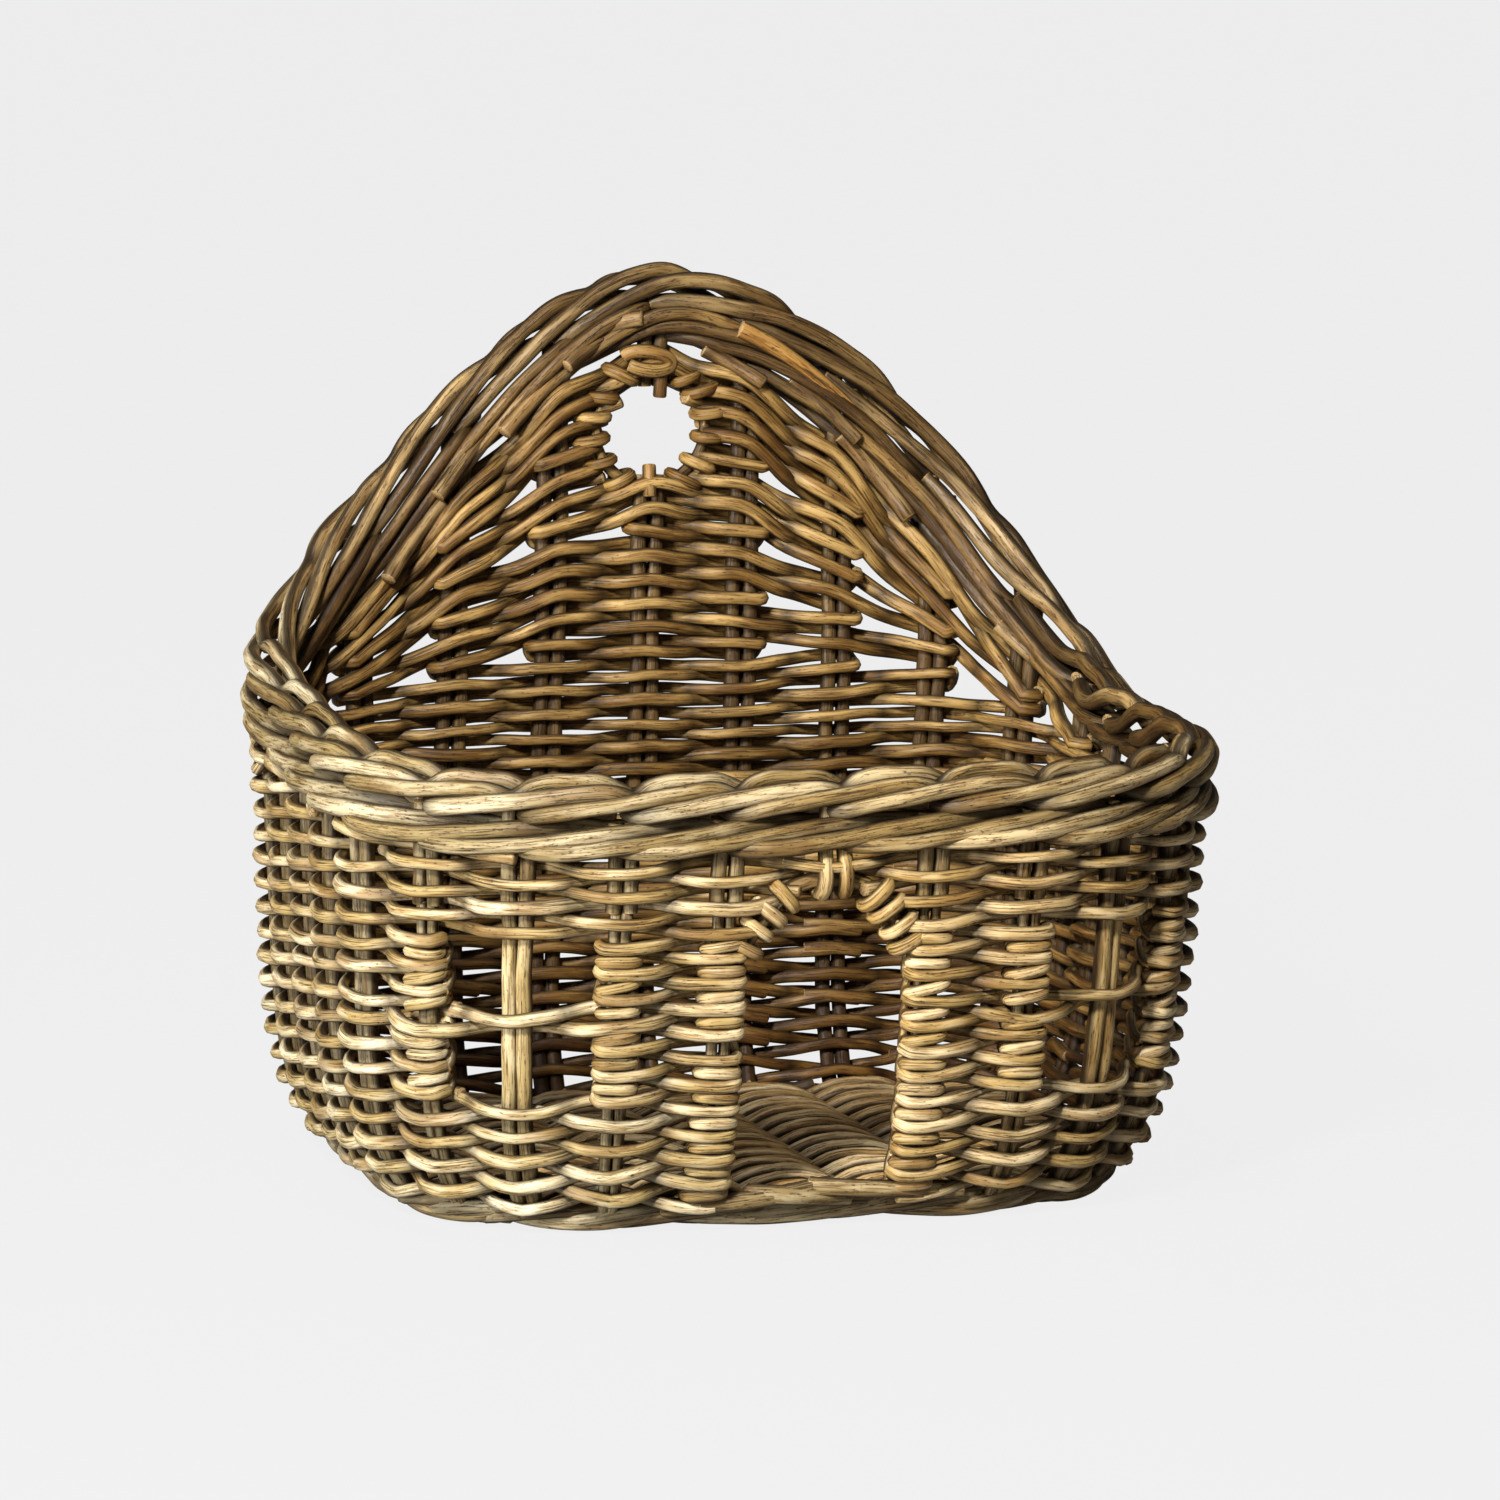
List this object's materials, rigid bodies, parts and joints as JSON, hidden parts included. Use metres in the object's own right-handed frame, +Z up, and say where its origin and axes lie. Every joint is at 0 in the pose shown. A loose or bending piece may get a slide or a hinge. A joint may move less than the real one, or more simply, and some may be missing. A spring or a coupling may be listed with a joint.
{
  "type": "woven rattan house basket",
  "caption": "Woven rattan basket shaped like a small house, with an arched doorway, barred corner windows, a low rolled rim and an arched back with a hanging hole.",
  "frame": {"origin": "on the table, under the middle of the bounding box", "axes": "-Y out of the doorway, +Y towards the arched back, +X to the right seen from the front, +Z up"},
  "size_m": [0.3966, 0.3678, 0.3779],
  "materials": {
    "stake_cane": "satin natural rattan, brown-grey",
    "weaving_cane": "satin natural rattan, grey straw to tan",
    "border_cane": "satin natural rattan, pale straw",
    "floor_cane": "satin natural rattan, brown"
  },
  "bodies": {
    "root": {"arch_weave": "weaving_cane", "back_centre_stake_lower": "stake_cane", "back_centre_stake_upper": "stake_cane", "back_stake_left_1": "stake_cane", "back_stake_left_2": "stake_cane", "back_stake_left_3": "stake_cane", "back_stake_right_1": "stake_cane", "back_stake_right_2": "stake_cane", "back_stake_right_3": "stake_cane", "back_weave": "weaving_cane", "base_border_left": "border_cane", "base_border_right": "border_cane", "border_arch": "border_cane", "border_front": "border_cane", "border_left": "border_cane", "border_right": "border_cane", "corner_stake_left": "stake_cane", "corner_stake_right": "stake_cane", "door_arch_wrap": "weaving_cane", "door_head_stake": "stake_cane", "door_pier_weave_left": "weaving_cane", "door_pier_weave_right": "weaving_cane", "door_post_left": "stake_cane", "door_post_right": "stake_cane", "floor_rib_1": "floor_cane", "floor_rib_2": "floor_cane", "floor_rib_3": "floor_cane", "floor_rib_4": "floor_cane", "floor_rib_5": "floor_cane", "floor_weave": "floor_cane", "foot_weave_back_and_sides": "weaving_cane", "foot_weave_front": "weaving_cane", "front_weave_above_windows": "weaving_cane", "hanging_hole_wrap_left": "weaving_cane", "hanging_hole_wrap_right": "weaving_cane", "side_stake_left_1": "stake_cane", "side_stake_left_2": "stake_cane", "side_stake_left_3": "stake_cane", "side_stake_left_4": "stake_cane", "side_stake_left_5": "stake_cane", "side_stake_right_1": "stake_cane", "side_stake_right_2": "stake_cane", "side_stake_right_3": "stake_cane", "side_stake_right_4": "stake_cane", "side_stake_right_5": "stake_cane", "side_weave_left": "weaving_cane", "side_weave_right": "weaving_cane", "wale_arch": "border_cane", "wale_front_and_sides": "border_cane", "window_bar_left_inner": "weaving_cane", "window_bar_left_outer": "weaving_cane", "window_bar_right_inner": "weaving_cane", "window_bar_right_outer": "weaving_cane", "window_inner_post_left": "stake_cane", "window_inner_post_right": "stake_cane", "window_mullion_left": "stake_cane", "window_mullion_right": "stake_cane", "window_outer_post_left": "stake_cane", "window_outer_post_right": "stake_cane"}
  },
  "joints": []
}
